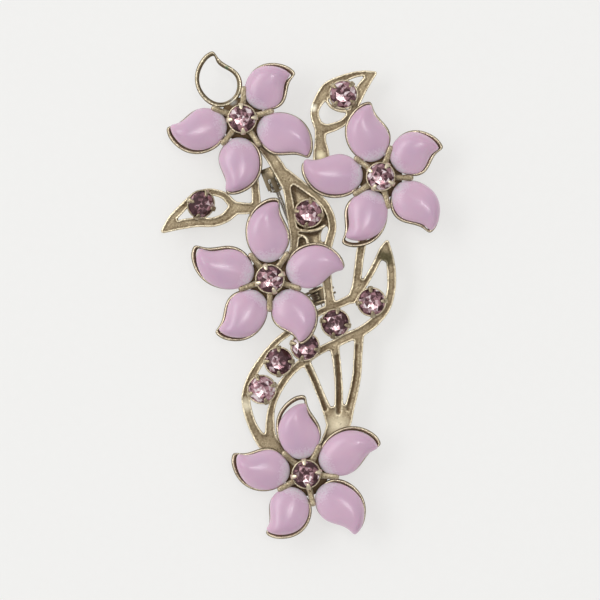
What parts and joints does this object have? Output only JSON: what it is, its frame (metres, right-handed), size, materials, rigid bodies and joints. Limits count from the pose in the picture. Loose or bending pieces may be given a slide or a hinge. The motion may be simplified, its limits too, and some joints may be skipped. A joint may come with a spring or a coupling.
{
  "type": "flower spray brooch",
  "caption": "Openwork metal flower spray brooch with moulded petals, claw-set round stones and a hinged pin with a roller safety catch.",
  "frame": {"origin": "under the middle of the spray's box, level with the lowest point of the safety catch", "axes": "+Z is the way the front faces, +Y runs up the spray to the top flower, +X is to the right seen from the front"},
  "size_m": [0.0498, 0.0861, 0.0105],
  "materials": {
    "antique_metal": "antique pale gold plate, worn bright on edges, brown in recesses",
    "finding_metal": "satin plated",
    "pin_steel": "drawn wire, polished point",
    "petal_resin": "moulded translucent lilac pink, glossy",
    "foiled_crystal": "faceted, foil backed"
  },
  "bodies": {
    "brooch": {"stem_frame": "antique_metal", "flower_1_rims": "antique_metal", "flower_2_rims": "antique_metal", "flower_3_rims": "antique_metal", "flower_4_rims": "antique_metal", "flower_1_claw": "antique_metal", "flower_2_claw": "antique_metal", "flower_3_claw": "antique_metal", "flower_4_claw": "antique_metal", "flower_1_stone": "foiled_crystal", "flower_2_stone": "foiled_crystal", "flower_3_stone": "foiled_crystal", "flower_4_stone": "foiled_crystal", "flower_1_rivet": "finding_metal", "flower_2_rivet": "finding_metal", "flower_3_rivet": "finding_metal", "flower_4_rivet": "finding_metal", "flower_1_petal_1": "petal_resin", "flower_1_petal_3": "petal_resin", "flower_1_petal_4": "petal_resin", "flower_1_petal_5": "petal_resin", "flower_2_petal_1": "petal_resin", "flower_2_petal_2": "petal_resin", "flower_2_petal_3": "petal_resin", "flower_2_petal_4": "petal_resin", "flower_2_petal_5": "petal_resin", "flower_3_petal_1": "petal_resin", "flower_3_petal_2": "petal_resin", "flower_3_petal_3": "petal_resin", "flower_3_petal_4": "petal_resin", "flower_3_petal_5": "petal_resin", "flower_4_petal_1": "petal_resin", "flower_4_petal_2": "petal_resin", "flower_4_petal_3": "petal_resin", "flower_4_petal_4": "petal_resin", "flower_4_petal_5": "petal_resin", "leaf_a_cup": "antique_metal", "leaf_b_cup": "antique_metal", "leaf_c_cup": "antique_metal", "leaf_a_stone": "foiled_crystal", "leaf_b_stone": "foiled_crystal", "leaf_c_stone": "foiled_crystal", "s_leaf_cup_1": "antique_metal", "s_leaf_cup_2": "antique_metal", "s_leaf_cup_3": "antique_metal", "s_leaf_cup_4": "antique_metal", "s_leaf_cup_5": "antique_metal", "s_leaf_stone_1": "foiled_crystal", "s_leaf_stone_2": "foiled_crystal", "s_leaf_stone_3": "foiled_crystal", "s_leaf_stone_4": "foiled_crystal", "s_leaf_stone_5": "foiled_crystal", "joint_base": "finding_metal", "joint_rivet": "finding_metal", "catch_housing": "finding_metal"},
    "pin": {"pin_stem": "pin_steel"},
    "rotor": {"catch_rotor": "finding_metal"}
  },
  "joints": [
    {"name": "pin_hinge", "type": "hinge", "parent": "brooch", "child": "pin", "pos_m": [-0.00485, 0.0197, 0.002], "axis": [0.9328, 0.3604, 0], "range_deg": [0, 100]},
    {"name": "catch_turn", "type": "hinge", "parent": "brooch", "child": "rotor", "pos_m": [0.0028, -0.0001, 0.002], "axis": [-0.3604, 0.9328, 0], "range_deg": [0, 100]}
  ]
}
